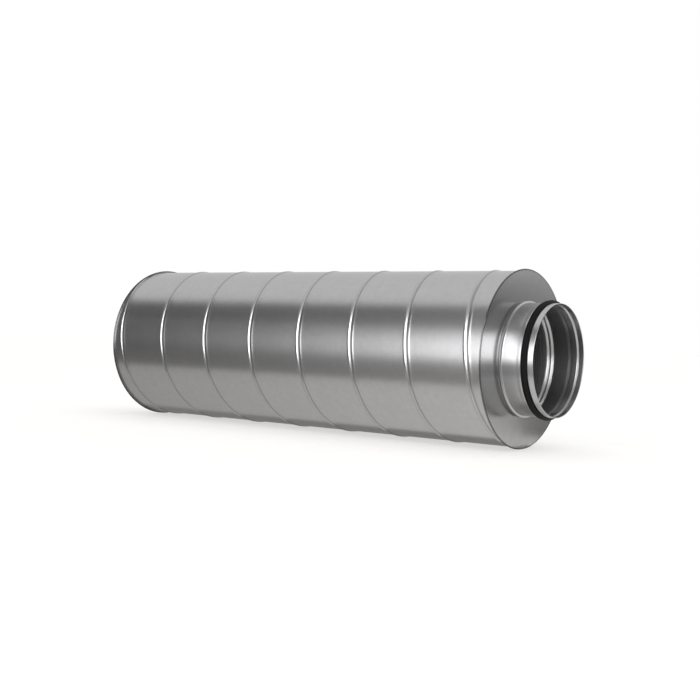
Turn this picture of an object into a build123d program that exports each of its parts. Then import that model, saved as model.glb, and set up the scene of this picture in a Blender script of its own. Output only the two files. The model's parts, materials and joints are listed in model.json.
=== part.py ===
"""Round duct sound attenuator: a spiral-seam steel casing, packed with wool round a perforated duct.

Lengths are millimetres. The duct's axis is X, Z is up, and the origin is the middle of the casing.
Both ends are alike. The front end faces +X, and the rear one is the same pieces turned half round.
A station s is a distance out from an end cap's outer face, so the mouth is at s = spigot_length.
"""

import os

from build123d import *

# Casing: a tube wound from one strip, whose edges lock in a raised helical seam
casing_diameter = 312.0
casing_length = 900.0
casing_sheet = 0.6
seam_pitch = 121.0
seam_foot = 13.0
seam_crest = 7.0
seam_height = 1.8
seam_to_front = 30.0  # from the front cap to the seam, along the side that faces -Y
seam_root = 0.3  # how deep the seam's foot is let into the sheet, so that the two are one body

# End caps: flat rings folded over the casing's flanges
cap_sheet = 0.7
rim_height = 3.5

# Spigots: tubes swaged with two beads that grip the cap, a collar and a groove for the seal
spigot_diameter = 199.2
spigot_length = 66.0
spigot_sheet = 0.7
bead_height = 3.4
bead_flank = 2.3
bead_crest = 3.2
tail_length = 12.0
collar_height = 0.9
collar_crest = 4.0
collar_flank = 3.0
groove_width = 10.4
groove_depth = 2.2
groove_flank = 1.0
end_band = 11.6
hem_depth = 7.0
hem_easing = 0.4

# Seals: rubber rings with two lips that lean back from the mouth
seal_body = 2.6
seal_lips = 2
lip_reach = 5.4  # how far a free lip stands out past the spigot
lip_root = 2.2
lip_tip = 1.0
lip_lean = 2.9

# Inside: a perforated duct, a fibre fleece round it and a mat of wool that fills the casing
duct_sheet = 0.6
hole_width = 20.0  # across flats: six-sided holes stand for the sheet's thousands of small ones
holes_around = 8
hole_rows = 12
fleece_thickness = 1.2
wool_joint = 2.0

# Clearances
seat_gap = 0.05
slip_gap = 0.1
wool_gap = 0.2

# Values that follow from the sizes above
half_length = casing_length / 2
casing_radius = casing_diameter / 2
casing_bore = casing_radius - casing_sheet
rim_radius = casing_radius + rim_height
cap_inside = half_length - cap_sheet
flange_outside = cap_inside - seat_gap
flange_inside = flange_outside - casing_sheet
fold_outside = flange_inside - seat_gap
fold_inside = fold_outside - cap_sheet
spigot_radius = spigot_diameter / 2
bead_length = 2 * bead_flank + bead_crest
tail_start = -cap_sheet - seat_gap - bead_length
tail_end = tail_start - tail_length
groove_end = spigot_length - end_band
groove_start = groove_end - groove_width
groove_floor = spigot_radius - groove_depth
duct_radius = spigot_radius - spigot_sheet - slip_gap
duct_half = half_length + tail_start - seat_gap
tail_half = half_length + tail_end
fleece_bore = duct_radius + seat_gap
fleece_radius = fleece_bore + fleece_thickness
wool_bore = max(fleece_radius, spigot_radius) + wool_gap


def turned(points):
    """A solid of revolution about X, from its section's corners as (x, radius)."""
    return revolve(make_face(Polyline(*points, close=True)), Axis.X)


def plain_tube(bore, radius, half):
    return turned([(-half, bore), (half, bore), (half, radius), (-half, radius)])


def at_front(piece):
    """A piece made about its end cap's outer face, moved to the front end."""
    return Pos(half_length, 0, 0) * piece


def at_rear(piece):
    return Rot(0, 0, 180) * at_front(piece)


def casing_seam():
    """The seam: its section carried along a right-handed helix, cut off square at the end caps' folds."""
    seam_half = fold_inside - seat_gap
    begin = -seam_half - seam_foot
    turn = 180 + 360 * (begin - half_length + seam_to_front) / seam_pitch
    length = 2 * (seam_half + seam_foot)
    helix = Pos(begin, 0, 0) * Rot(turn, 0, 0) * Plane.YZ.location * Helix(seam_pitch, length, casing_radius)
    start = helix @ 0
    outward = Vector(0, start.Y, start.Z).normalized()
    along = helix % 0
    section = Plane(origin=start, x_dir=outward.cross(along), z_dir=along) * make_face(
        Polyline(
            (-seam_foot / 2, -seam_root),
            (-seam_foot / 2, 0),
            (-seam_crest / 2, seam_height),
            (seam_crest / 2, seam_height),
            (seam_foot / 2, 0),
            (seam_foot / 2, -seam_root),
            close=True,
        )
    )
    seam = sweep(section, path=helix, is_frenet=True)
    return seam & plain_tube(casing_bore, casing_radius + 2 * seam_height, seam_half)


def outer_casing():
    """The tube with an outward flange at each end and its seam."""
    flange_radius = rim_radius - cap_sheet - seat_gap
    tube = turned(
        [
            (-flange_outside, casing_bore),
            (flange_outside, casing_bore),
            (flange_outside, flange_radius),
            (flange_inside, flange_radius),
            (flange_inside, casing_radius),
            (-flange_inside, casing_radius),
            (-flange_inside, flange_radius),
            (-flange_outside, flange_radius),
        ]
    )
    return tube + casing_seam()


def end_cap():
    """A flat ring, held by the spigot's beads at its hole and folded back over the casing's flange."""
    hole_radius = spigot_radius + seat_gap
    fold_radius = rim_radius - cap_sheet
    foot_radius = casing_radius + seat_gap
    return turned(
        [
            (0, hole_radius),
            (0, rim_radius),
            (fold_inside - half_length, rim_radius),
            (fold_inside - half_length, foot_radius),
            (fold_outside - half_length, foot_radius),
            (fold_outside - half_length, fold_radius),
            (-cap_sheet, fold_radius),
            (-cap_sheet, hole_radius),
        ]
    )


def bead(start):
    """The outer line of one swaged bead that begins at a station."""
    crest = spigot_radius + bead_height
    return [
        (start, spigot_radius),
        (start + bead_flank, crest),
        (start + bead_flank + bead_crest, crest),
        (start + bead_length, spigot_radius),
    ]


def spigot():
    """The swaged tube: its outer line thickened inwards by the sheet, with a hem folded in at the mouth."""
    collar = spigot_radius + collar_height
    collar_start = groove_start - collar_crest
    line = Polyline(
        (tail_end, spigot_radius),
        *bead(tail_start),
        *bead(seat_gap),
        (collar_start - collar_flank, spigot_radius),
        (collar_start, collar),
        (groove_start, collar),
        (groove_start + groove_flank, groove_floor),
        (groove_end - groove_flank, groove_floor),
        (groove_end, spigot_radius),
        (spigot_length, spigot_radius),
    )
    sheet = offset(line, spigot_sheet, kind=Kind.INTERSECTION, side=Side.RIGHT, closed=True)
    wall = revolve(make_face(sheet), Axis.X)
    bore = spigot_radius - spigot_sheet
    hem_start = spigot_length - hem_depth
    hem = turned(
        [
            (hem_start, bore - spigot_sheet),
            (spigot_length, bore - spigot_sheet),
            (spigot_length, bore),
            (hem_start, bore),
        ]
    )
    tube = wall + hem
    mouth = tube.edges().filter_by(GeomType.CIRCLE).group_by(Axis.X)[-1]
    return chamfer(mouth, hem_easing)


def seal():
    """A rubber ring that fills the groove, with lips standing out of it."""
    bottom = groove_floor + seat_gap
    top = bottom + seal_body
    tip = spigot_radius + lip_reach
    front = groove_end - groove_flank
    back = groove_start + groove_flank
    step = (front - back) / seal_lips
    outline = [(front, top), (front, bottom), (back, bottom), (back, top)]
    for lip in range(seal_lips):
        root = back + (lip + 1) * step - lip_root
        outline += [
            (root, top),
            (root - lip_lean, tip),
            (root - lip_lean + lip_tip, tip),
            (root + lip_root, top),
        ]
    return turned(outline)


def perforated_duct():
    """The inner duct, with staggered rows of holes between the spigots' tails."""
    tube = plain_tube(duct_radius - duct_sheet, duct_radius, duct_half)
    row_pitch = 2 * tail_half / (hole_rows + 1)
    around = 360 / holes_around
    drill = extrude(RegularPolygon(hole_width / 2, side_count=6, major_radius=False), 2 * duct_radius)
    drills = [
        Pos(-tail_half + (row + 1) * row_pitch, 0, 0) * Rot((hole + (row % 2) / 2) * around, 0, 0) * drill
        for row in range(hole_rows)
        for hole in range(holes_around)
    ]
    return tube - drills


def fleece_wrap():
    """Fibre fleece round the duct, between the spigots' tails."""
    return plain_tube(fleece_bore, fleece_radius, tail_half - seat_gap)


def wool_mat():
    """The wool, one mat bent round the duct and shaped round the beads, with its butt joint underneath."""
    mat_half = cap_inside - wool_gap
    mat_radius = casing_bore - wool_gap
    bead_clear = spigot_radius + bead_height + wool_gap
    mat = turned(
        [
            (-mat_half, bead_clear),
            (-duct_half, bead_clear),
            (-duct_half, wool_bore),
            (duct_half, wool_bore),
            (duct_half, bead_clear),
            (mat_half, bead_clear),
            (mat_half, mat_radius),
            (-mat_half, mat_radius),
        ]
    )
    return mat - Pos(0, 0, -casing_radius / 2) * Box(casing_length, wool_joint, casing_radius)


pieces = {
    "outer_casing": outer_casing(),
    "end_cap_front": at_front(end_cap()),
    "end_cap_rear": at_rear(end_cap()),
    "spigot_front": at_front(spigot()),
    "spigot_rear": at_rear(spigot()),
    "seal_front": at_front(seal()),
    "seal_rear": at_rear(seal()),
    "perforated_duct": perforated_duct(),
    "fleece_wrap": fleece_wrap(),
    "wool_mat": wool_mat(),
}

os.makedirs("parts", exist_ok=True)
for name, piece in pieces.items():
    export_step(piece, f"parts/{name}.step")
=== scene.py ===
"""Looks of a round duct sound attenuator: its spiral-seam casing, folded end caps, sealed spigots and lining.

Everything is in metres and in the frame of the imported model: the duct's axis is X, Z is up, and the origin
is the middle of the casing. Each piece replaces one CAD node and takes its size and place from that node.
"""

import json
from math import pi, tau

import bpy
import numpy as np
from bpy.props import FloatProperty, IntProperty, PointerProperty, StringProperty
from mathutils import Matrix, Vector


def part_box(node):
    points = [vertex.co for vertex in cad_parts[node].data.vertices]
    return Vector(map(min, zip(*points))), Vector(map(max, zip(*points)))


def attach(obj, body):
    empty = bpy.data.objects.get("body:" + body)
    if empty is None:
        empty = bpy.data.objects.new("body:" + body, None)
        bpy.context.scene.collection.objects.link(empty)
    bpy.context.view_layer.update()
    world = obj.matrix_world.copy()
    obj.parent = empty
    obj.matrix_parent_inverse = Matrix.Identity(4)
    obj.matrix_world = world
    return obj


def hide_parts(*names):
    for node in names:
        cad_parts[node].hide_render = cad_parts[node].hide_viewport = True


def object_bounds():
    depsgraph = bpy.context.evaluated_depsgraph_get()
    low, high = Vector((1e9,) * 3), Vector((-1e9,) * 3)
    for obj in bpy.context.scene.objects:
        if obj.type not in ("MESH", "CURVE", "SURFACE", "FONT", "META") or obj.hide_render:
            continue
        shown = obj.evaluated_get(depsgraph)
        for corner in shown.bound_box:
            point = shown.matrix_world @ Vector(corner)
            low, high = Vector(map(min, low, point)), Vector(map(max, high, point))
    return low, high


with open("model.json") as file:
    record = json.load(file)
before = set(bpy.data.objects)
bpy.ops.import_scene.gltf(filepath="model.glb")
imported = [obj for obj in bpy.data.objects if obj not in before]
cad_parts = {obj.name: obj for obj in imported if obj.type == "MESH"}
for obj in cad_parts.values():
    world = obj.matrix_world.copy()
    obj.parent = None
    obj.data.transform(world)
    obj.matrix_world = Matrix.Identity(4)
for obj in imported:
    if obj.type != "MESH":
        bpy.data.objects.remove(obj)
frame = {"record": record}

bl_info = {
    "name": "Duct silencer looks",
    "version": (1, 0, 0),
    "blender": (4, 5, 0),
    "location": "3D View > Sidebar > Silencer",
    "description": "Surfaces, finishes and studio for a round duct sound attenuator",
    "category": "Object",
}

MM = 0.001
CAD_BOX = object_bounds()
WELD = 1e-7  # corners that round to the same multiple of this are one vertex
SHARP = 0.05 * MM  # the smallest rounding that an edge gets
SEAM_CUT = 0.04 * MM  # length over which the seam's square-cut end drops to the plain tube
SEAT_GAP = 0.05 * MM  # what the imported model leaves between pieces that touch
GROOVE_DEPTH = 2.2 * MM
GROOVE_FLANK = 1.0 * MM  # length over which a side of the seal's groove slopes
MOUNT_RADIUS = {mount["name"]: mount["dims"]["r_mm"] * MM for mount in frame["record"]["mounts"]}


def reach(node):
    """How far a CAD node reaches: its lowest and highest x, and its outer radius."""
    low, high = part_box(node)
    return low.x, high.x, min(high.y, high.z)


CASING_HALF, CASING_FLANGE_RADIUS = reach("outer_casing")[1:]
CASING_RADIUS = MOUNT_RADIUS["hanger_band"]
FOLD_INSIDE, CAP_FACE, RIM_RADIUS = reach("end_cap_front")
TAIL_END, MOUTH, BEAD_RADIUS = reach("spigot_front")
SPIGOT_RADIUS = MOUNT_RADIUS["spigot_front"]
SEAL_FRONT, LIP_RADIUS = reach("seal_front")[1:]
DUCT_HALF, DUCT_RADIUS = reach("perforated_duct")[1:]
FLEECE_HALF, FLEECE_RADIUS = reach("fleece_wrap")[1:]
WOOL_HALF, WOOL_RADIUS = reach("wool_mat")[1:]
FLOOR = CAD_BOX[0].z
WHITE = (1, 1, 1, 1)
PAPER_TINT = (1, 0.98, 0.95, 1)  # what the paper gives back to the metal, a little warmer than the panels
MIX_SHARE, MIX_FIRST, MIX_SECOND, MIX_RESULT = 0, 6, 7, 2  # the sockets of a Mix node that mixes colours

# The studio's cards: name, level, the sides across and up, and the centre, then a tint, the length over which
# the level dies away and its spread, where a card has them. Those on the floor lie a little over the paper.
CARD_HEIGHT = FLOOR + 2 * MM
CARDS = (
    # In front: two bright panels and a dark canopy over them
    ("front_panel", 3.4, (12, 0, 0), (0, 0, 2.6), (-6.6, -2.7, 0.45), WHITE, 0.64, 1.3),
    ("right_panel", 5.5, (3.8, 0, 0), (0, 0, 3.3), (1.3, -2.7, 1.55)),
    ("front_canopy", 0.05, (13, 0, 0), (0, 1.7, 0.75), (-6.6, -1.85, 2.175)),
    # On the floor: cards in the paper's tint, as painted light and shade that the casing's lower half mirrors
    ("near_floor", 0.44, (13, 0, 0), (0, 0.9, 0), (-5.9, -0.75, CARD_HEIGHT), PAPER_TINT, 1.3),
    ("far_floor", 0.9, (12, 0, 0), (0, 1.5, 0), (-6.25, -1.95, CARD_HEIGHT), PAPER_TINT, 0.66),
    ("left_floor", 0.92, (4, 0, 0), (0, 0.24, 0), (-1.53, -0.18, CARD_HEIGHT), PAPER_TINT, 2.2),
    # A darker card right under the casing: a painted contact shadow for its mirrored lower edge
    ("contact_shadow_card", 0.37, (3.4, 0, 0), (0, 0.11, 0), (-1.23, -0.005, CARD_HEIGHT), PAPER_TINT),
    ("rear_floor", 0.97, (4, 0, 0), (0, 0.95, 0), (-1.53, 0.525, CARD_HEIGHT), PAPER_TINT, 1.5),
    ("right_floor", 0.65, (2.6, 0, 0), (0, 2.4, 0), (1.9, -1.4, CARD_HEIGHT), PAPER_TINT),
    # To the right and behind: what the end cap's face and the spigot mirror
    ("right_wall", 0.35, (0, 4.6, 0), (0, 0, 3), (3.3, 0.1, 1.34)),
    ("right_canopy", 0.5, (2.6, 0, 0), (0, 4.6, 0), (2.0, 0.1, 2.85)),
    ("back_wall", 0.3, (6, 0, 0), (0, 0, 0.8), (-2, 3, 0.24)),
    ("far_right_flag", 0.65, (0.66, -0.44, 0), (0, 0, 0.46), (1.33, 2.68, 0.07)),
    ("near_right_flag", 0.08, (1.14, -0.76, 0), (0, 0, 0.46), (2.23, 2.08, 0.07)),
    ("disc_floor", 0.9, (0.7, 0, 0), (0, 0.4, 0), (0.82, 0, CARD_HEIGHT), PAPER_TINT),
    # A darker card behind the front end: painted shade on the floor, seen only in the metal
    ("back_dark_floor", 0.25, (0.9, 0, 0), (1.35, 2.5, 0), (0.785, 1.45, CARD_HEIGHT - MM), PAPER_TINT),
    ("back_right_floor", 0.8, (1.6, 0, 0), (1.35, 2.5, 0), (2.035, 1.45, CARD_HEIGHT), PAPER_TINT),
)


class SilencerSizes(bpy.types.PropertyGroup):
    """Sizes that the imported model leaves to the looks."""

    casing_sheet: FloatProperty(
        name="Casing sheet",
        description="Thickness of the spiral casing's strip and of the inner duct's sheet",
        default=0.6 * MM,
        unit="LENGTH",
    )
    cap_sheet: FloatProperty(
        name="Cap sheet", description="Thickness of the end caps", default=0.7 * MM, unit="LENGTH"
    )
    spigot_sheet: FloatProperty(
        name="Spigot sheet", description="Thickness of the spigots", default=0.7 * MM, unit="LENGTH"
    )
    seam_pitch: FloatProperty(
        name="Seam pitch",
        description="From one turn of the seam to the next",
        default=121 * MM,
        unit="LENGTH",
    )
    seam_to_front: FloatProperty(
        name="Seam to front",
        description="From the front cap's face to the seam, on the side that faces -Y",
        default=30 * MM,
        unit="LENGTH",
    )
    seam_height: FloatProperty(
        name="Seam height",
        description="How far the lock seam's higher roll stands out",
        default=1.45 * MM,
        unit="LENGTH",
    )
    end_band: FloatProperty(
        name="End band",
        description="Plain band between a spigot's mouth and the seal's groove",
        default=11.6 * MM,
        unit="LENGTH",
    )
    groove: FloatProperty(
        name="Groove", description="Width of the groove that holds the seal", default=10.4 * MM, unit="LENGTH"
    )
    hole: FloatProperty(
        name="Hole", description="Diameter of the inner duct's holes", default=3 * MM, unit="LENGTH"
    )
    hole_pitch: FloatProperty(
        name="Hole pitch", description="From one hole to the next", default=5 * MM, unit="LENGTH"
    )
    pierced_rows: IntProperty(
        name="Pierced rows",
        description="Rows of true holes at each end; further in they are drawn",
        default=24,
        min=2,
    )
    sectors: IntProperty(
        name="Sectors", description="Divisions round the turned pieces", default=216, min=12
    )


class SilencerColours(bpy.types.PropertyGroup):
    """Colours of the finishes, as sRGB hex values."""

    zinc: StringProperty(name="Zinc", description="Galvanised sheet", default="#B1B1B2")
    pressed: StringProperty(
        name="Pressed zinc", description="Galvanised sheet, smoothed by the press", default="#B6B6B7"
    )
    # Darker than the casing's zinc: painted shade for the lining deep in the bore
    pierced: StringProperty(
        name="Pierced zinc", description="Galvanised sheet of the inner duct", default="#8C8C8D"
    )
    rubber: StringProperty(name="Rubber", description="Seals", default="#0E0E0F")
    fleece: StringProperty(name="Fleece", description="Fleece behind the holes", default="#1E1E1F")
    wool: StringProperty(name="Wool", description="Mineral wool", default="#A8935C")
    paper: StringProperty(name="Paper", description="Studio floor", default="#F5F3EF")


def linear(hex_colour):
    """An sRGB hex value as linear red, green, blue and alpha."""
    srgb = np.array([int(hex_colour[i : i + 2], 16) for i in (1, 3, 5)]) / 255
    return (*np.where(srgb <= 0.04045, srgb / 12.92, ((srgb + 0.055) / 1.055) ** 2.4), 1.0)


def shaded(hex_colour, *shares):
    """A colour darker or lighter: its linear red, green and blue times one share, or times a share each."""
    return (*(np.array(linear(hex_colour)[:3]) * shares), 1.0)


def unit(vectors):
    """Each vector divided by its length."""
    return vectors / np.linalg.norm(vectors, axis=-1, keepdims=True)


def rounded(corners, closed=True, steps=7):
    """An outline with each corner turned into an arc of its own radius, tangent to both its lines.

    Corners are (x, radius, rounding), clockwise with x to the right and the radius upwards, so the piece's
    outside is on the left of the way along. Gives (x, radius, outward x, outward radius, run) for each point.
    """
    corners = np.asarray(corners, float)
    points, rounding = corners[:, :2], corners[:, 2:]
    back = unit(np.roll(points, 1, axis=0) - points)
    onward = unit(np.roll(points, -1, axis=0) - points)
    half = np.arccos(np.clip((back * onward).sum(1, keepdims=True), -1, 1)) / 2
    centre = points + unit(back + onward) * rounding / np.sin(half)
    start = points + back * rounding / np.tan(half) - centre
    end = points + onward * rounding / np.tan(half) - centre
    turn = (pi - 2 * half)[:, None]
    share = np.linspace(0, 1, steps)[None, :, None]
    spoke = (np.sin((1 - share) * turn) * start[:, None] + np.sin(share * turn) * end[:, None]) / np.sin(turn)
    arcs = centre[:, None] + spoke
    bulge = np.sign(onward[:, 1] * back[:, 0] - onward[:, 0] * back[:, 1])[:, None, None]
    outward = unit(spoke) * bulge
    if closed:
        arcs = np.concatenate((arcs, arcs[:1]))
        outward = np.concatenate((outward, outward[:1]))
        line, outward = arcs.reshape(-1, 2)[: 1 - steps], outward.reshape(-1, 2)[: 1 - steps]
    else:
        first = unit(points[1] - points[0])
        last = unit(points[-1] - points[-2])
        line = np.concatenate((points[:1], arcs[1:-1].reshape(-1, 2), points[-1:]))
        ends = [[-first[1], first[0]]], [[-last[1], last[0]]]
        outward = np.concatenate((ends[0], outward[1:-1].reshape(-1, 2), ends[1]))
    run = np.concatenate(([0], np.cumsum(np.linalg.norm(np.diff(line, axis=0), axis=1))))
    return np.column_stack((line, outward, run))


def patch(points, normals, u, v):
    """Faces of one patch of a surface, from grids of its points, outward normals and map coordinates.

    Gives (faces, 4, 8): for each corner its place, its normal and its u and v.
    """
    u, v = np.broadcast_arrays(u, v)
    grid = np.concatenate((points, normals, u[..., None], v[..., None]), axis=-1)
    quads = np.stack((grid[:-1, :-1], grid[1:, :-1], grid[1:, 1:], grid[:-1, 1:]), axis=2)
    return quads.reshape(-1, 4, grid.shape[-1])


def turned(outline, angles):
    """A surface of revolution: x stays, and y and z are the radius times the angle's cosine and sine."""
    x, radius, out_x, out_radius, run = outline.T[:, :, None]
    cosine, sine = np.cos(angles), np.sin(angles)
    flat = np.zeros_like(angles)
    points = np.stack((x + flat, radius * cosine, radius * sine), axis=-1)
    normals = np.stack((out_x + flat, out_radius * cosine, out_radius * sine), axis=-1)
    return patch(points, normals, run + flat, angles * radius.max() + 0 * run)


def full_turn(count):
    """Angles evenly round a whole turn, with the last on the first."""
    return np.linspace(0, tau, count + 1)


def mirrored(patches):
    """The same patches at the rear end: the front ones turned half round the Z axis."""
    turn = np.array([-1, -1, 1, -1, -1, 1, 1, 1])
    return [faces * turn for faces in patches]


def make_piece(name, patches, material, node):
    """Welds patches into one closed mesh and puts it in the place of a CAD node.

    Corners that round to the same place are one vertex, a face left with fewer than three is dropped, and a
    face whose corners run the wrong way for its outward normals is turned round.
    """
    corners = np.concatenate(patches)
    facing = np.cross(corners[:, 2, :3] - corners[:, 0, :3], corners[:, 3, :3] - corners[:, 1, :3])
    inward = (facing * corners[:, :, 3:6].sum(1)).sum(1) < 0
    corners[inward] = corners[inward, ::-1]
    keys = np.round(corners[..., :3].reshape(-1, 3) / WELD).astype(np.int64)
    _, first, index = np.unique(keys, axis=0, return_index=True, return_inverse=True)
    index = index.reshape(-1, 4)
    distinct = index != np.roll(index, 1, axis=1)
    sides = distinct.sum(1)
    distinct &= (sides > 2)[:, None]
    sides = sides[sides > 2]
    used, vertex = np.unique(index[distinct], return_inverse=True)
    places = corners[..., :3].reshape(-1, 3)[first[used]]
    loops = corners[distinct]
    mesh = bpy.data.meshes.new(name)
    mesh.vertices.add(len(places))
    mesh.vertices.foreach_set("co", places.ravel().astype(np.float32))
    mesh.loops.add(len(vertex))
    mesh.loops.foreach_set("vertex_index", vertex.ravel().astype(np.int32))
    mesh.polygons.add(len(sides))
    mesh.polygons.foreach_set("loop_start", (np.cumsum(sides) - sides).astype(np.int32))
    layer = mesh.uv_layers.new(name="UVMap")
    layer.uv.foreach_set("vector", loops[:, 6:].ravel().astype(np.float32))
    mesh.update(calc_edges=True)
    if mesh.validate():
        raise RuntimeError(f"the mesh of {name} has faces that aren't valid")
    mesh.polygons.foreach_set("use_smooth", np.ones(len(sides), bool))
    mesh.normals_split_custom_set(unit(loops[:, 3:6]).tolist())
    mesh.materials.append(material)
    piece = bpy.data.objects.new(name, mesh)
    bpy.context.scene.collection.objects.link(piece)
    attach(piece, "root")
    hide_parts(node)
    return piece


def add(tree, kind, inputs=None, **settings):
    """Adds a shader node, with settings as its attributes.

    Inputs hold, by socket, a value, a (node, output) link, or a node alone, linked by its first output.
    """
    node = tree.nodes.new(kind)
    for key, value in settings.items():
        setattr(node, key, value)
    for socket, value in (inputs or {}).items():
        link = value if isinstance(value, tuple) else (value, 0)
        if isinstance(link[0], bpy.types.Node):
            tree.links.new(link[0].outputs[link[1]], node.inputs[socket])
        else:
            node.inputs[socket].default_value = value
    return node


def new_material(name):
    """An empty material and its node tree."""
    material = bpy.data.materials.new(name)
    material.use_nodes = True
    tree = material.node_tree
    tree.nodes.clear()
    return material, tree


def rolled_zinc(name, colour, roughness, along_map, relief=0.03, bend=None, crease=None):
    """Hot-dip galvanised strip, skin-passed between rolls.

    The zinc is satin, so it mirrors in soft bands, drawn out across the rolling lines. Its crystals,
    flattened by the rolls, show as faint patches 8 mm wide, and the lines are 0.5 mm apart on the real sheet,
    drawn 5 mm apart here so that they show. Relief is how strongly they catch the light. Where the sheet is
    folded, shade is painted into its colour: a dark band outside the radius bend, or a dark line in a crease
    about 3 mm wide, given as its offset across the map and the map's pitch.
    """
    patches_per_metre = 1 / (8 * MM)
    lines_per_metre = 1 / (5 * MM)
    line_length = 120 * MM
    gloss_clouds_per_metre = 9.0  # about 110 mm wide
    gloss_spread = 0.012  # with a wide range, the render's noise filter draws contours
    tones = (0.3, (0.97, 0.97, 0.98)), (0.7, (1.03, 1.03, 1.02))
    painted_shade_tone, shade_share_at_bend, shade_share_in_crease = 0.2, 0.85, 0.47  # the painted shade's tone, and its share at each
    material, tree = new_material(name)
    place = add(tree, "ShaderNodeTexCoord")
    map_place = (place, "UV") if along_map else (place, "Object")
    stretch = (lines_per_metre, 1 / line_length, lines_per_metre)
    drawn_out = add(tree, "ShaderNodeMapping", {"Vector": map_place, "Scale": stretch})
    lines = add(tree, "ShaderNodeTexNoise", {"Vector": drawn_out, "Scale": 1.0, "Detail": 1.0})
    crystals = add(tree, "ShaderNodeTexVoronoi", {"Vector": (place, "Object"), "Scale": patches_per_metre})
    clouds = add(
        tree,
        "ShaderNodeTexNoise",
        {"Vector": (place, "Object"), "Scale": gloss_clouds_per_metre, "Detail": 3.0},
    )
    grain = add(
        tree,
        "ShaderNodeMix",
        {MIX_SHARE: 0.5, MIX_FIRST: (crystals, "Color"), MIX_SECOND: (lines, "Color")},
        data_type="RGBA",
    )
    level = add(tree, "ShaderNodeRGBToBW", {"Color": (grain, MIX_RESULT)})
    tint = add(tree, "ShaderNodeValToRGB", {"Fac": level})
    for stop, (position, shares) in zip(tint.color_ramp.elements, tones):
        stop.position, stop.color = position, shaded(colour, *shares)
    limits = {"To Min": roughness - gloss_spread, "To Max": roughness + gloss_spread}
    gloss = add(tree, "ShaderNodeMapRange", {"Value": (clouds, "Fac"), **limits})
    bump = add(
        tree, "ShaderNodeBump", {"Height": (lines, "Fac"), "Strength": relief, "Distance": 0.4 * MM}
    )
    base, painted_shade = (tint, "Color"), None
    # Painted shade: the colour darkens outside the radius bend, round a fold
    if bend:
        across = add(
            tree, "ShaderNodeVectorMath", {0: (place, "Object"), 1: (0, 1, 1)}, operation="MULTIPLY"
        )
        radius = add(tree, "ShaderNodeVectorMath", {0: (across, "Vector")}, operation="LENGTH")
        limits = {"From Min": bend - 0.3 * MM, "From Max": bend + 0.3 * MM, "To Max": shade_share_at_bend}
        painted_shade = add(tree, "ShaderNodeMapRange", {"Value": (radius, "Value"), **limits})
    # Painted shade: the colour darkens in a line along the seam's crease
    if crease:
        offset, pitch = crease
        split = add(tree, "ShaderNodeSeparateXYZ", {"Vector": (place, "UV")})
        shifted = add(tree, "ShaderNodeMath", {0: (split, "X"), 1: offset}, operation="SUBTRACT")
        away = add(tree, "ShaderNodeMath", {0: shifted, 1: pitch / 2}, operation="PINGPONG")
        limits = {"From Min": 0.4 * MM, "From Max": 2.6 * MM, "To Min": shade_share_in_crease, "To Max": 0.0}
        painted_shade = add(tree, "ShaderNodeMapRange", {"Value": away, **limits})
    # The painted shade mixes the zinc's tint towards a dark tone
    if painted_shade:
        sockets = {
            MIX_SHARE: (painted_shade, "Result"),
            MIX_FIRST: (tint, "Color"),
            MIX_SECOND: shaded(colour, painted_shade_tone),
        }
        base = add(tree, "ShaderNodeMix", sockets, data_type="RGBA"), MIX_RESULT
    tangent = add(tree, "ShaderNodeTangent", direction_type="UV_MAP", uv_map="UVMap")
    shader = add(
        tree,
        "ShaderNodeBsdfPrincipled",
        {
            "Base Color": base,
            "Metallic": 0.95,
            "Specular Tint": (0.8, 0.8, 0.8, 1),
            "Roughness": (gloss, "Result"),
            "Anisotropic": 0.3,
            "Normal": bump,
            "Tangent": tangent,
        },
    )
    add(tree, "ShaderNodeOutputMaterial", {"Surface": shader})
    return material


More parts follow.
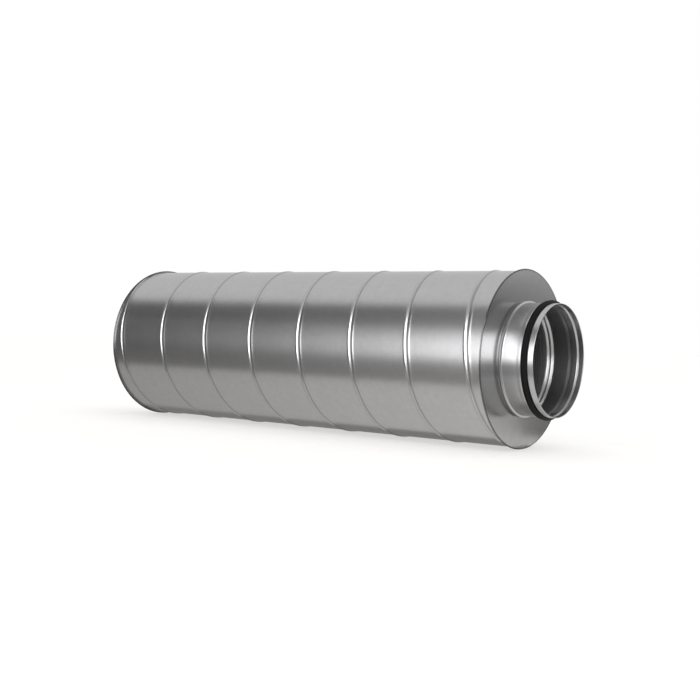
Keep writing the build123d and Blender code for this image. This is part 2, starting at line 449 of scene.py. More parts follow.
def perforated_zinc(name, colour, holes_colour, hole, pitch, drawn_half):
    """Galvanised sheet, punched with staggered round holes, with the black fleece behind them.

    The sheet is satin, duller than the casing's. Nearer to the middle than drawn_half, between the two
    pierced ends, the holes are drawn: a point is in a hole where its distance to the nearest centre in the
    staggered rows is less than the hole's radius.
    """
    satin, matt = 0.62, 0.92
    row_pitch = pitch * 3**0.5 / 2
    material, tree = new_material(name)
    place = add(tree, "ShaderNodeTexCoord")
    split = add(tree, "ShaderNodeSeparateXYZ", {"Vector": (place, "UV")})

    def nearest(shift):
        """Distance to the nearest centre of every other row, with the rows shifted by one or not."""
        square = 0.0
        for axis, step in (("Y", pitch / 2), ("X", row_pitch)):
            shifted = add(tree, "ShaderNodeMath", {0: (split, axis), 1: shift * step}, operation="ADD")
            away = add(tree, "ShaderNodeMath", {0: shifted, 1: step}, operation="PINGPONG")
            square = add(tree, "ShaderNodeMath", {0: away, 1: away, 2: square}, operation="MULTIPLY_ADD")
        return add(tree, "ShaderNodeMath", {0: square}, operation="SQRT")

    distance = add(tree, "ShaderNodeMath", {0: nearest(0), 1: nearest(1)}, operation="MINIMUM")
    inside = add(tree, "ShaderNodeMath", {0: distance, 1: hole / 2}, operation="LESS_THAN")
    from_middle = add(tree, "ShaderNodeMath", {0: (split, "X")}, operation="ABSOLUTE")
    drawn = add(tree, "ShaderNodeMath", {0: from_middle, 1: drawn_half}, operation="LESS_THAN")
    mask = add(tree, "ShaderNodeMath", {0: inside, 1: drawn}, operation="MULTIPLY")
    colours = add(
        tree,
        "ShaderNodeMix",
        {MIX_SHARE: mask, MIX_FIRST: linear(colour), MIX_SECOND: linear(holes_colour)},
        data_type="RGBA",
    )
    metal = add(tree, "ShaderNodeMath", {0: 1.0, 1: mask}, operation="SUBTRACT")
    rough = add(tree, "ShaderNodeMath", {0: mask, 1: matt - satin, 2: satin}, operation="MULTIPLY_ADD")
    bump = add(tree, "ShaderNodeBump", {"Height": metal, "Strength": 0.6, "Distance": 0.6 * MM})
    shader = add(
        tree,
        "ShaderNodeBsdfPrincipled",
        {
            "Base Color": (colours, MIX_RESULT),
            "Metallic": metal,
            "Roughness": rough,
            "Normal": bump,
        },
    )
    add(tree, "ShaderNodeOutputMaterial", {"Surface": shader})
    return material


def extruded_rubber(name, colour):
    """Extruded EPDM rubber: nearly black, with a dull skin that turns greyer where it is dusty with talc."""
    dust_per_metre = 60.0  # clouds about 17 mm wide
    grains_per_metre = 1400.0  # the skin's grain, about 0.7 mm
    material, tree = new_material(name)
    place = add(tree, "ShaderNodeTexCoord")
    dust = add(
        tree, "ShaderNodeTexNoise", {"Vector": (place, "Object"), "Scale": dust_per_metre, "Detail": 4.0}
    )
    skin = add(
        tree, "ShaderNodeTexNoise", {"Vector": (place, "Object"), "Scale": grains_per_metre, "Detail": 2.0}
    )
    tint = add(tree, "ShaderNodeValToRGB", {"Fac": (dust, "Fac")})
    for stop, position, share in zip(tint.color_ramp.elements, (0.35, 0.75), (1, 1.5)):
        stop.position, stop.color = position, shaded(colour, share)
    bump = add(tree, "ShaderNodeBump", {"Height": (skin, "Fac"), "Strength": 0.15, "Distance": 0.2 * MM})
    shader = add(
        tree,
        "ShaderNodeBsdfPrincipled",
        {
            "Base Color": (tint, "Color"),
            "Roughness": 0.6,
            "Specular IOR Level": 0.15,
            "Normal": bump,
        },
    )
    add(tree, "ShaderNodeOutputMaterial", {"Surface": shader})
    return material


def matted_fibre(name, colour, fibre_width, roughness):
    """Fibres laid at random and pressed together: matt, uneven in tone, with fine threads standing in it.

    Real fibres are a hundredth of a millimetre wide, and are drawn wider here, so that they show.
    """
    material, tree = new_material(name)
    place = add(tree, "ShaderNodeTexCoord")
    threads = add(
        tree,
        "ShaderNodeTexNoise",
        {
            "Vector": (place, "Object"),
            "Scale": 1 / fibre_width,
            "Detail": 5.0,
            "Roughness": 0.7,
            "Distortion": 1.5,
        },
    )
    tint = add(tree, "ShaderNodeValToRGB", {"Fac": (threads, "Fac")})
    for stop, position, share in zip(tint.color_ramp.elements, (0.3, 0.7), (0.6, 1.3)):
        stop.position, stop.color = position, shaded(colour, share)
    bump = add(
        tree, "ShaderNodeBump", {"Height": (threads, "Fac"), "Strength": 0.6, "Distance": fibre_width / 2}
    )
    shader = add(
        tree,
        "ShaderNodeBsdfPrincipled",
        {
            "Base Color": (tint, "Color"),
            "Roughness": roughness,
            "Sheen Weight": 0.2,
            "Normal": bump,
        },
    )
    add(tree, "ShaderNodeOutputMaterial", {"Surface": shader})
    return material


def seam_rise(offset, height):
    """How far the casing's sheet stands out at an axial offset from the seam's middle, and its slope.

    The lock seam is two rolls with a crease between them, each a raised cosine, on sheet that is drawn up
    towards them and falls off exponentially on both sides.
    """
    high_roll = (-0.4 * MM, 3.6 * MM, 1.0)  # its middle, half its width and its share of the height
    low_roll = (7.6 * MM, 3.4 * MM, 0.22)
    drawn_up, fade, between = 0.2 * height, 6.5 * MM, 2.0 * MM
    rise = drawn_up * np.exp(-np.abs(offset - between) / fade)
    slope = -np.sign(offset - between) * rise / fade
    for middle, half, share in (high_roll, low_roll):
        near = np.abs(offset - middle) < half
        phase = pi * (offset - middle) / half
        rise = rise + near * share * height * (1 + np.cos(phase)) / 2
        slope = slope - near * share * height * np.sin(phase) * pi / half / 2
    return rise, slope


def casing_skin(sizes, seam_end):
    """The strip wound into a tube, from a point's angle along the helix and its place across the strip.

    Its x is the seam's x at that angle plus the place, kept between the caps, and its radius is the tube's
    plus the seam's rise. Stations across the strip are close together over the seam. Also gives the seam's x
    where the angle is 0.
    """
    pitch = sizes.seam_pitch
    over_seam = np.arange(-6, 11.5, 0.7)
    beside_seam = (-30, -18, -11, -8, 13, 17, 24, 38)
    near = np.concatenate((over_seam, beside_seam)) * MM
    across = np.concatenate(([0], np.unique(np.round(near % pitch, 6)), [pitch]))
    seam_at_zero = CAP_FACE - sizes.seam_to_front - pitch / 2
    turns_back = np.ceil((seam_at_zero + pitch + seam_end) / pitch)
    turns_on = np.ceil((seam_end - seam_at_zero) / pitch)
    steps = np.arange(-turns_back * sizes.sectors, turns_on * sizes.sectors + 1)
    seam_x = (seam_at_zero + pitch * steps / sizes.sectors)[:, None]
    angle = (tau * (steps % sizes.sectors) / sizes.sectors)[:, None]
    x = np.clip(seam_x + across, -seam_end, seam_end)
    rise, slope = seam_rise(seam_offset(x - seam_x, sizes), sizes.seam_height)
    radius = CASING_RADIUS + rise
    cosine, sine = np.cos(angle), np.sin(angle)
    points = np.stack((x, radius * cosine, radius * sine), axis=-1)
    lead = slope * pitch / (tau * radius)
    normals = np.stack((-slope, cosine - lead * sine, sine + lead * cosine), axis=-1)
    along = tau * CASING_RADIUS * steps[:, None] / sizes.sectors
    return patch(points, unit(normals), x - seam_x, along), seam_at_zero


def seam_offset(x, sizes):
    """How far a place is from the nearest turn of the seam, given its distance from any turn's middle."""
    return (x + sizes.seam_pitch / 2) % sizes.seam_pitch - sizes.seam_pitch / 2


def casing_cut(sizes, seam_end, seam_at_zero, way):
    """The seam's square-cut end at +X or -X: a ring from the skin's last points down to the plain tube.

    Its outer edge has the seam's rise at each angle, and its inner one the tube's radius.
    """
    angles = full_turn(sizes.sectors)
    from_seam = way * seam_end - seam_at_zero - sizes.seam_pitch * angles / tau
    rise = seam_rise(seam_offset(from_seam, sizes), sizes.seam_height)[0]
    rise[-1] = rise[0]
    radius = np.stack((CASING_RADIUS + rise, np.full_like(angles, CASING_RADIUS)))
    x = way * np.broadcast_to([[seam_end], [seam_end + SEAM_CUT]], radius.shape)
    cosine, sine = np.cos(angles), np.sin(angles)
    points = np.stack((x, radius * cosine, radius * sine), axis=-1)
    facing = np.stack((way * rise, SEAM_CUT * cosine, SEAM_CUT * sine), axis=-1)
    return patch(points, unit(np.stack((facing, facing))), x, angles * CASING_RADIUS)


def casing_flange(sizes, seam_end):
    """From the seam's end round the front flange and back along the bore to the middle, turned about X."""
    bore = CASING_RADIUS - sizes.casing_sheet
    flange = CASING_HALF - sizes.casing_sheet
    outside = rounded(
        [
            (seam_end + SEAM_CUT, CASING_RADIUS, SHARP),
            (flange, CASING_RADIUS, 0.3 * MM),
            (flange, CASING_FLANGE_RADIUS, 0.2 * MM),
            (CASING_HALF, CASING_FLANGE_RADIUS, 0.2 * MM),
            (CASING_HALF, bore, 0.3 * MM),
            (0, bore, SHARP),
        ],
        closed=False,
    )
    return turned(outside, full_turn(sizes.sectors))


class SILENCER_OT_casing(bpy.types.Operator):
    """Makes the spiral-seam casing"""

    bl_idname = "silencer.casing"
    bl_label = "Casing"

    def execute(self, context):
        sizes, colours = context.scene.silencer_sizes, context.scene.silencer_colours
        seam_end = FOLD_INSIDE - SEAT_GAP
        skin, seam_at_zero = casing_skin(sizes, seam_end)
        cuts = [casing_cut(sizes, seam_end, seam_at_zero, way) for way in (1, -1)]
        front = [casing_flange(sizes, seam_end)]
        # Painted shade: a dark line along the seam's crease, 3.7 mm across from its middle
        seam_shade_line = (3.7 * MM, sizes.seam_pitch)
        material = rolled_zinc(
            "skin_passed_galvanised_strip", colours.zinc, 0.29, along_map=True, crease=seam_shade_line
        )
        patches = [skin, *cuts, *front, *mirrored(front)]
        make_piece("spiral_casing", patches, material, "outer_casing")
        return {"FINISHED"}


class SILENCER_OT_end_caps(bpy.types.Operator):
    """Makes both end caps: flat rings folded back round the casing's flange"""

    bl_idname = "silencer.end_caps"
    bl_label = "End caps"

    def execute(self, context):
        sizes, colours = context.scene.silencer_sizes, context.scene.silencer_colours
        sheet = sizes.cap_sheet
        hole = SPIGOT_RADIUS + SEAT_GAP
        fold_outside = FOLD_INSIDE + sheet
        foot = CASING_RADIUS + SEAT_GAP
        outline = rounded(
            [
                (FOLD_INSIDE, RIM_RADIUS, 0.9 * MM),
                (CAP_FACE, RIM_RADIUS, 0.9 * MM),
                (CAP_FACE, hole, SHARP),
                (CAP_FACE - sheet, hole, SHARP),
                (CAP_FACE - sheet, RIM_RADIUS - sheet, 0.2 * MM),
                (fold_outside, RIM_RADIUS - sheet, 0.2 * MM),
                (fold_outside, foot, SHARP),
                (FOLD_INSIDE, foot, 0.2 * MM),
            ]
        )
        front = [turned(outline, full_turn(sizes.sectors))]
        # Painted shade: the cap's colour darkens outside this radius, round the rim's fold
        rim_shade_radius = RIM_RADIUS - 2.3 * MM
        material = rolled_zinc(
            "skin_passed_galvanised_disc", colours.zinc, 0.22, along_map=False, relief=0.015, bend=rim_shade_radius
        )
        make_piece("front_cap", front, material, "end_cap_front")
        make_piece("rear_cap", mirrored(front), material, "end_cap_rear")
        return {"FINISHED"}


def thickened(line, sheet):
    """The inner corners of a sheet whose outer corners are given: each is mitred inwards by the sheet."""
    line = np.asarray(line, float)
    along = unit(np.diff(line[:, :2], axis=0))
    outward = np.column_stack((-along[:, 1], along[:, 0]))
    before, after = np.vstack((outward[:1], outward)), np.vstack((outward, outward[-1:]))
    shift = (before + after) / (1 + (before * after).sum(1, keepdims=True))
    bend = np.sign(before[:, 0] * after[:, 1] - before[:, 1] * after[:, 0])
    inner = line.copy()
    inner[:, :2] -= shift * sheet
    inner[:, 2] = np.maximum(line[:, 2] + bend * sheet, SHARP)
    return inner


def spigot_outline(sizes):
    """The spigot's section: two beads that grip the cap, a collar, the seal's groove and the hemmed mouth.

    The outer corners run from the tail to the mouth, the hem is folded in there, and the inner corners run
    back at the sheet's thickness.
    """
    radius, crest, sheet = SPIGOT_RADIUS, BEAD_RADIUS, sizes.spigot_sheet
    bead_length, hem_length = 7.8 * MM, 7.0 * MM
    low_rise = 0.45 * MM  # of the collar, and of a bead where its slope turns steep
    mouth_rounding = 0.65 * MM

    def bead(start):
        """Outer corners of a swaged bead, from a distance out from the cap's face. It rises gently and then
        steeply, and its front is steep."""
        places = (0, 1.6 * MM, 5.5 * MM, 5.9 * MM, bead_length)
        heights = (radius, radius + low_rise, crest, crest, radius)
        rounds = (SHARP, 1.2 * MM, 0.4 * MM, 0.35 * MM, 1.3 * MM)
        return [(CAP_FACE + start + at, height, turn) for at, height, turn in zip(places, heights, rounds)]

    collar = radius + low_rise
    groove_floor = radius - GROOVE_DEPTH
    groove_end = MOUTH - sizes.end_band
    groove_start = groove_end - sizes.groove
    outer = [
        (TAIL_END, radius, SHARP),
        *bead(-sizes.cap_sheet - SEAT_GAP - bead_length),
        *bead(SEAT_GAP),
        (groove_start - 9.0 * MM, radius, 9.0 * MM),
        (groove_start - 4.2 * MM, collar, 6.0 * MM),
        (groove_start, collar, 0.9 * MM),
        (groove_start + GROOVE_FLANK, groove_floor, 0.5 * MM),
        (groove_end - GROOVE_FLANK, groove_floor, 0.5 * MM),
        (groove_end + 1.8 * MM, radius, 0.9 * MM),
        (MOUTH, radius, mouth_rounding),
    ]
    inner = thickened(outer, sheet)[::-1]
    hem_start, hem_radius = MOUTH - hem_length, radius - 2 * sheet
    hem = [
        (MOUTH, hem_radius, mouth_rounding),
        (hem_start, hem_radius, 0.3 * MM),
        (hem_start, radius - sheet, SHARP),
    ]
    return rounded(np.concatenate((outer, hem, inner[1:])))


class SILENCER_OT_spigots(bpy.types.Operator):
    """Makes both spigots: swaged tubes with beads, a collar, a groove and a hem"""

    bl_idname = "silencer.spigots"
    bl_label = "Spigots"

    def execute(self, context):
        sizes, colours = context.scene.silencer_sizes, context.scene.silencer_colours
        front = [turned(spigot_outline(sizes), full_turn(sizes.sectors))]
        material = rolled_zinc("swaged_galvanised_sheet", colours.pressed, 0.288, along_map=True, relief=0.01)
        make_piece("front_spigot", front, material, "spigot_front")
        make_piece("rear_spigot", mirrored(front), material, "spigot_rear")
        return {"FINISHED"}


class SILENCER_OT_seals(bpy.types.Operator):
    """Makes both seals: rubber rings with two lips that lean back from the mouth"""

    bl_idname = "silencer.seals"
    bl_label = "Seals"

    def execute(self, context):
        sizes, colours = context.scene.silencer_sizes, context.scene.silencer_colours
        body, root, lean, tip_width, tip_rounding = 2.6 * MM, 2.2 * MM, 4.4 * MM, 1.0 * MM, 0.42 * MM
        rear_lip_lower = 0.8 * MM
        bottom = SPIGOT_RADIUS - GROOVE_DEPTH + SEAT_GAP
        top = bottom + body
        back = SEAL_FRONT - sizes.groove + 2 * GROOVE_FLANK
        step = (SEAL_FRONT - back) / 2
        corners = [(back, bottom, 0.2 * MM), (back, top, 0.2 * MM)]
        for lip, tip in ((1, LIP_RADIUS - rear_lip_lower), (2, LIP_RADIUS)):
            foot = back + lip * step
            corners += [
                (foot - root, top, 0.7 * MM),
                (foot - lean, tip, tip_rounding),
                (foot - lean + tip_width, tip, tip_rounding),
                (foot, top, 0.3 * MM),
            ]
        corners += [(SEAL_FRONT, bottom, 0.2 * MM)]
        front = [turned(rounded(corners), full_turn(sizes.sectors))]
        material = extruded_rubber("extruded_epdm", colours.rubber)
        make_piece("front_seal", front, material, "seal_front")
        make_piece("rear_seal", mirrored(front), material, "seal_rear")
        return {"FINISHED"}


def pierced_sheet(rows, around, pitch, hole, start):
    """Flat layout of a sheet with staggered six-sided holes, each as wide as a round one of the same area.

    Corner (row, hole, k) lies k sixths of a turn round its hole's centre. Gives the corners as (distance from
    the end, distance round), and index arrays: the faces between the holes, the corners by hole, and the
    corners along the first row's outer edge and the last row's inner one.
    """
    row, ring, k = np.meshgrid(np.arange(rows), np.arange(around), np.arange(6), indexing="ij")
    corner_radius = hole / 2 * (2 * pi / (3 * 3**0.5)) ** 0.5
    turn = pi / 6 + k * pi / 3
    end_wise = start + row * pitch * 3**0.5 / 2 + corner_radius * np.sin(turn)
    round_wise = (ring + (row % 2) / 2) * pitch + corner_radius * np.cos(turn)
    layout = np.stack((end_wise, round_wise), axis=-1).reshape(-1, 2)
    index = np.arange(rows * around * 6).reshape(rows, around, 6)
    beside = np.roll(index, -1, axis=1)
    here = index[:-1]
    odd = (np.arange(rows - 1) % 2 == 1)[:, None, None]
    right = np.where(odd, np.roll(index[1:], -1, axis=1), index[1:])
    left = np.where(odd, index[1:], np.roll(index[1:], 1, axis=1))
    # Each web between holes is four corners, as a hole and the corner's k; a repeated one makes a triangle
    webs = [
        (index, 5, beside, 3, beside, 2, index, 0),
        (here, 0, right, 4, right, 3, here, 1),
        (here, 1, left, 5, left, 4, here, 2),
        (here, 1, right, 3, left, 5, left, 5),
        (here, 0, beside[:-1], 2, right, 4, right, 4),
    ]
    faces = [
        np.stack([web[i][..., web[i + 1]] for i in (0, 2, 4, 6)], axis=-1).reshape(-1, 4) for web in webs
    ]
    first = index[0][:, [3, 4, 5]].ravel()
    last = index[-1][:, [2, 1, 0]].ravel()
    return layout, np.concatenate(faces), index, first, last


def perforated_patches(sizes):
    """The inner duct: the pierced sheet rolled up at both ends, at the inner and the outer radius.

    A flat distance round becomes an angle. The walls of the holes, the plain margins, the end faces and the
    plain middle join the two sides. Also gives how far the plain middle reaches.
    """
    inner, outer = DUCT_RADIUS - sizes.casing_sheet, DUCT_RADIUS
    around = round(tau * DUCT_RADIUS / sizes.hole_pitch)
    pitch = tau / around
    margin, landing = 8 * MM, 1.5 * MM
    layout, faces, index, first, last = pierced_sheet(
        sizes.pierced_rows, around, sizes.hole_pitch, sizes.hole, margin
    )
    angle = layout[:, 1] / sizes.hole_pitch * pitch
    x = DUCT_HALF - layout[:, 0]
    middle = DUCT_HALF - layout[last, 0].max() - landing
    patches = []

    def on_tube(x, angle, radius, outward):
        """Points and normals on the tube, with the map's u along it and v round it at the inner radius."""
        spoke = np.stack((np.zeros_like(angle), np.cos(angle), np.sin(angle)), axis=-1)
        points = spoke * radius
        points[..., 0] = x
        return np.concatenate((points, spoke * outward, x[..., None], angle[..., None] * inner), axis=-1)

    def ring_rows(line, ends, radius, outward):
        """Rings of points: one on the pierced sheet's edge, and one level with it at each other x."""
        closed = np.append(line, line[0])
        a = angle[closed]
        a[-1] += tau
        edge = on_tube(x[closed], a, radius, outward)
        level = [on_tube(np.full_like(a, end), a, radius, outward) for end in ends]
        return np.stack((edge, *level))

    def join(grid):
        """The faces between the rings of a grid."""
        return patch(grid[..., :3], grid[..., 3:6], grid[..., 6], grid[..., 7])

    for radius, outward in ((inner, -1), (outer, 1)):
        wrapped = on_tube(x, angle, radius, outward)[faces]
        v = wrapped[..., 7]
        over_the_join = v.max(1, keepdims=True) - v > pi * inner
        wrapped[..., 7] = np.where(over_the_join, v + tau * inner, v)
        patches.append(wrapped)
        patches.append(join(ring_rows(first, [DUCT_HALF], radius, outward)))
        patches.append(join(ring_rows(last, [middle, 0], radius, outward)))
    centre_angle = angle[index].mean(axis=2)
    centre_x = x[index].mean(axis=2)
    centre = on_tube(centre_x, centre_angle, inner, 1)[None, ..., None, :3]
    for k in range(6):
        pair = index[..., [k, (k + 1) % 6]]
        walls = np.stack((on_tube(x[pair], angle[pair], inner, 1), on_tube(x[pair], angle[pair], outer, 1)))
        towards = centre - walls[..., :3]
        spoke = walls[..., 3:6]
        walls[..., 3:6] = unit(towards - (towards * spoke).sum(-1, keepdims=True) * spoke)
        corners = (walls[0, ..., 0, :], walls[1, ..., 0, :], walls[1, ..., 1, :], walls[0, ..., 1, :])
        patches.append(np.stack(corners, axis=-2).reshape(-1, 4, 8))
    rim = np.stack([ring_rows(first, [DUCT_HALF], radius, 1)[1] for radius in (inner, outer)])
    rim[..., 3:6] = (1, 0, 0)
    patches.append(join(rim))
    mirror = np.array([-1, 1, 1, -1, 1, 1, -1, 1])
    return patches + [faces * mirror for faces in patches], middle


class SILENCER_OT_perforated_duct(bpy.types.Operator):
    """Makes the perforated inner duct"""

    bl_idname = "silencer.perforated_duct"
    bl_label = "Perforated duct"

    def execute(self, context):
        sizes, colours = context.scene.silencer_sizes, context.scene.silencer_colours
        patches, middle = perforated_patches(sizes)
        material = perforated_zinc(
            "perforated_galvanised_sheet",
            colours.pierced,
            colours.fleece,
            sizes.hole,
            sizes.hole_pitch,
            drawn_half=middle,
        )
        make_piece("inner_duct", patches, material, "perforated_duct")
        return {"FINISHED"}


class SILENCER_OT_fleece(bpy.types.Operator):
    """Makes the fleece that wraps the perforated duct"""

    bl_idname = "silencer.fleece"
    bl_label = "Fleece"

    def execute(self, context):
        sizes, colours = context.scene.silencer_sizes, context.scene.silencer_colours
        bore = DUCT_RADIUS + SEAT_GAP
        outline = rounded(
            [
                (-FLEECE_HALF, FLEECE_RADIUS, 0.3 * MM),
                (FLEECE_HALF, FLEECE_RADIUS, 0.3 * MM),
                (FLEECE_HALF, bore, SHARP),
                (-FLEECE_HALF, bore, SHARP),
            ]
        )
        wrap = [turned(outline, full_turn(sizes.sectors))]
        material = matted_fibre("black_glass_fleece", colours.fleece, 0.4 * MM, 0.9)
        make_piece("fleece", wrap, material, "fleece_wrap")
        return {"FINISHED"}


def wool_patches():
    """The mat, from stations along X and angles round it, with its butt joint underneath.

    It lies between a bore that steps out round the beads and an outer radius that is dented by waves, and has
    a face at each end and on both sides of the joint.
    """
    stations = 180
    joint = 2 * MM
    gap = 0.2 * MM
    dent = 0.3 * MM
    steps = np.linspace(-DUCT_HALF, DUCT_HALF, stations)
    ends = DUCT_HALF + SHARP, WOOL_HALF
    x = np.concatenate(([-ends[1], -ends[0]], steps, ends))
    half_joint = joint / 2 / WOOL_RADIUS
    angle = np.linspace(-pi / 2 + half_joint, 3 * pi / 2 - half_joint, stations)
    x, angle = np.meshgrid(x, angle, indexing="ij")
    inner = np.where(np.abs(x) > DUCT_HALF, BEAD_RADIUS + gap, FLEECE_RADIUS + gap)
    waves = np.sin(61 * x + 3 * angle) * np.sin(47 * x - 5 * angle) + 0.5 * np.sin(190 * x + 31 * angle)
    outer = WOOL_RADIUS - dent * (1.5 - waves) / 3

    def surface(x, angle, radius):
        """Points from x, and from the radius times the angle's cosine and sine."""
        return np.stack((x, radius * np.cos(angle), radius * np.sin(angle)), axis=-1)

    spoke = surface(0 * x, angle, 1)
    ways = np.array([[1.0], [-1.0]])
    patches = [
        patch(surface(x, angle, outer), spoke, x, angle * WOOL_RADIUS),
        patch(surface(x, angle, inner), -spoke, x, angle * WOOL_RADIUS),
    ]
    for axis, along in ((0, angle), (1, x)):
        for side, way in ((0, -1), (-1, 1)):
            edge = (side,) if axis == 0 else (slice(None), side)
            rims = np.stack([surface(x[edge], angle[edge], radius[edge]) for radius in (inner, outer)])
            facing = np.zeros_like(rims)
            facing[..., axis] = way
            patches.append(patch(rims, facing, 0 * ways + along[edge], 0 * along[edge] + ways))
    return patches


class SILENCER_OT_wool(bpy.types.Operator):
    """Makes the mineral wool mat that fills the casing"""

    bl_idname = "silencer.wool"
    bl_label = "Wool mat"

    def execute(self, context):
        colours = context.scene.silencer_colours
        material = matted_fibre("bonded_mineral_wool", colours.wool, 1.5 * MM, 0.95)
        make_piece("wool", wool_patches(), material, "wool_mat")
        return {"FINISHED"}


def flat_mesh(name, across, up, centre):
    """A flat rectangle: the centre plus or minus half of each of its two side vectors."""
    signs = np.array([(-1, -1), (1, -1), (1, 1), (-1, 1)]) / 2
    places = np.asarray(centre) + signs @ np.array([across, up])
    mesh = bpy.data.meshes.new(name)
    mesh.from_pydata(places.tolist(), [], [(0, 1, 2, 3)])
    thing = bpy.data.objects.new(name, mesh)
    bpy.context.scene.collection.objects.link(thing)
    return thing


def make_floor(colours):
    """A wide sheet of matt white paper. The camera and mirror surfaces see it half in its own shading, which
    keeps the shadow, and half as plain white, so that it runs into the white behind it without a line."""
    width = 16
    pulp_clouds_per_metre = 40.0  # about 25 mm wide
    plain_white = 1.12  # makes up for the paper's own shade in the other half
    material, tree = new_material("matt_paper")
    place = add(tree, "ShaderNodeTexCoord")
    pulp = add(
        tree,
        "ShaderNodeTexNoise",
        {"Vector": (place, "Object"), "Scale": pulp_clouds_per_metre, "Detail": 3.0},
    )
    bump = add(tree, "ShaderNodeBump", {"Height": (pulp, "Fac"), "Strength": 0.02, "Distance": MM})
    paper = add(
        tree,
        "ShaderNodeBsdfPrincipled",
        {
            "Base Color": linear(colours.paper),
            "Roughness": 0.9,
            "Specular IOR Level": 0.2,
            "Normal": bump,
        },
    )
    path = add(tree, "ShaderNodeLightPath")
    seen = (path, "Is Camera Ray")
    tints = {MIX_SHARE: seen, MIX_FIRST: PAPER_TINT, MIX_SECOND: WHITE}
    tone = add(tree, "ShaderNodeMix", tints, data_type="RGBA")
    white = add(tree, "ShaderNodeEmission", {"Color": (tone, MIX_RESULT), "Strength": plain_white})
    for ray in ("Is Glossy Ray", "Is Transmission Ray"):
        seen = add(tree, "ShaderNodeMath", {0: seen, 1: (path, ray)}, operation="MAXIMUM")
    share = add(tree, "ShaderNodeMath", {0: seen, 1: 0.5}, operation="MULTIPLY")
    mixed = add(tree, "ShaderNodeMixShader", {0: share, 1: paper, 2: white})
    add(tree, "ShaderNodeOutputMaterial", {"Surface": mixed})
    floor = flat_mesh("floor", (width, 0, 0), (0, width, 0), (0, 0, FLOOR))
    floor.data.materials.append(material)


def make_card(name, level, across, up, centre, tint=WHITE, dies_away=None, spread=None):
    """A studio card that only mirror surfaces see: a dark one is a flag, and a bright one is a soft panel.

    With dies_away, the level falls off towards -X from the card's right edge, to a third over that length.
    With spread, it also falls off up and down from the card's middle, as a bell curve that wide.
    """
    material, tree = new_material(f"{name}_card")
    strength = level
    if dies_away:
        place = add(tree, "ShaderNodeTexCoord")
        axes = add(tree, "ShaderNodeSeparateXYZ", {"Vector": (place, "Object")})
        right_edge = centre[0] + across[0] / 2
        power = add(tree, "ShaderNodeMath", {0: (axes, "X"), 1: right_edge}, operation="SUBTRACT")
        power = add(tree, "ShaderNodeMath", {0: power, 1: dies_away}, operation="DIVIDE")
        if spread:
            lift = add(tree, "ShaderNodeMath", {0: (axes, "Z"), 1: centre[2]}, operation="SUBTRACT")
            lift = add(tree, "ShaderNodeMath", {0: lift, 1: spread}, operation="DIVIDE")
            square = add(tree, "ShaderNodeMath", {0: lift, 1: lift}, operation="MULTIPLY")
            power = add(tree, "ShaderNodeMath", {0: power, 1: square}, operation="SUBTRACT")
        share = add(tree, "ShaderNodeMath", {0: power}, operation="EXPONENT")
        strength = add(tree, "ShaderNodeMath", {0: share, 1: level}, operation="MULTIPLY")
    glow = add(tree, "ShaderNodeEmission", {"Color": tint, "Strength": strength})
    add(tree, "ShaderNodeOutputMaterial", {"Surface": glow})
    card = flat_mesh(name, across, up, centre)
    card.data.materials.append(material)
    card.visible_camera = False
    card.visible_diffuse = False
    card.visible_shadow = False
    card.visible_transmission = False


def make_lamp(name, radiance, width, height, place, target):
    """An evenly bright rectangular lamp, aimed at a point. Its power is pi times radiance times area."""
    data = bpy.data.lights.new(name, "AREA")
    data.shape = "RECTANGLE"
    data.size, data.size_y = width, height
    data.energy = pi * radiance * width * height
    lamp = bpy.data.objects.new(name, data)
    lamp.location = place
    lamp.rotation_euler = (Vector(target) - Vector(place)).to_track_quat("-Z", "Y").to_euler()
    lamp.visible_camera = False
    lamp.visible_glossy = False
    bpy.context.scene.collection.objects.link(lamp)


def make_camera():
    """The photograph's camera, on the side of the front spigot and a little above the axis."""
    data = bpy.data.cameras.new("camera")
    data.lens, data.sensor_width = 56.25, 36
    camera = bpy.data.objects.new("camera", data)
    right = Vector((0.80117, 0.59766, 0.03050))
    up = Vector((-0.03804, 0.0, 0.99928))
    turn = Matrix((right, up, right.cross(up))).transposed().to_4x4()
    camera.matrix_world = Matrix.Translation((1.3547, -1.7329, 0.0508)) @ turn
    bpy.context.scene.collection.objects.link(camera)
    bpy.context.scene.camera = camera


def make_world():
    """Even white light from all round, at a strength of 1."""
    world = bpy.data.worlds.new("studio")
    world.use_nodes = True
    tree = world.node_tree
    tree.nodes.clear()
    sky = add(tree, "ShaderNodeBackground", {"Color": WHITE, "Strength": 1.0})
    add(tree, "ShaderNodeOutputWorld", {"Surface": sky})
    bpy.context.scene.world = world


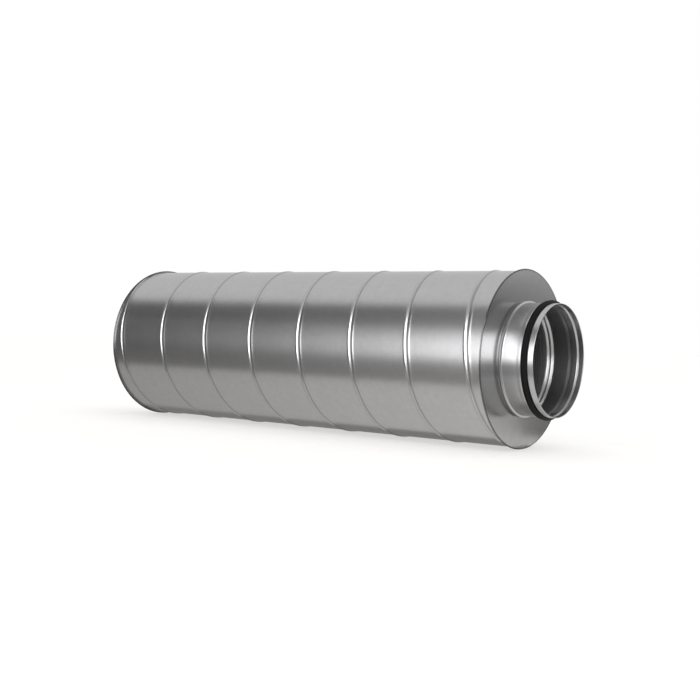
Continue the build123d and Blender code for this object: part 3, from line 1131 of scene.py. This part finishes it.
class SILENCER_OT_stage(bpy.types.Operator):
    """Makes the floor, the cards that the metal mirrors, the lamp, the world and the camera"""

    bl_idname = "silencer.stage"
    bl_label = "Studio"

    def execute(self, context):
        make_world()
        make_floor(context.scene.silencer_colours)
        for card in CARDS:
            make_card(*card)
        make_lamp("top_panel", radiance=0.8, width=2.0, height=1.6, place=(0, 0.6, 2.6), target=(0, 0, 0))
        make_camera()
        context.scene.view_settings.view_transform = "Standard"
        return {"FINISHED"}


class SILENCER_PT_panel(bpy.types.Panel):
    """Lists the sizes, the colours and the pieces"""

    bl_label = "Duct silencer"
    bl_idname = "SILENCER_PT_panel"
    bl_space_type = "VIEW_3D"
    bl_region_type = "UI"
    bl_category = "Silencer"

    def draw(self, context):
        """Lays out the sizes and colours, and a button for each operator"""
        for group in (context.scene.silencer_sizes, context.scene.silencer_colours):
            for key in group.__annotations__:
                self.layout.prop(group, key)
        for operator in OPERATORS:
            self.layout.operator(operator.bl_idname)


OPERATORS = (
    SILENCER_OT_casing,
    SILENCER_OT_end_caps,
    SILENCER_OT_spigots,
    SILENCER_OT_seals,
    SILENCER_OT_perforated_duct,
    SILENCER_OT_fleece,
    SILENCER_OT_wool,
    SILENCER_OT_stage,
)
CLASSES = (SilencerSizes, SilencerColours, *OPERATORS, SILENCER_PT_panel)


def register():
    """Adds the classes to Blender, and the sizes and colours to its scenes."""
    for kind in CLASSES:
        bpy.utils.register_class(kind)
    bpy.types.Scene.silencer_sizes = PointerProperty(type=SilencerSizes)
    bpy.types.Scene.silencer_colours = PointerProperty(type=SilencerColours)


def unregister():
    """Takes away what register added, in the opposite order."""
    del bpy.types.Scene.silencer_colours
    del bpy.types.Scene.silencer_sizes
    for kind in reversed(CLASSES):
        bpy.utils.unregister_class(kind)


def main():
    """Makes every piece and the stage."""
    register()
    bpy.ops.silencer.casing()
    bpy.ops.silencer.end_caps()
    bpy.ops.silencer.spigots()
    bpy.ops.silencer.seals()
    bpy.ops.silencer.perforated_duct()
    bpy.ops.silencer.fleece()
    bpy.ops.silencer.wool()
    bpy.ops.silencer.stage()


if __name__ == "__main__":
    main()
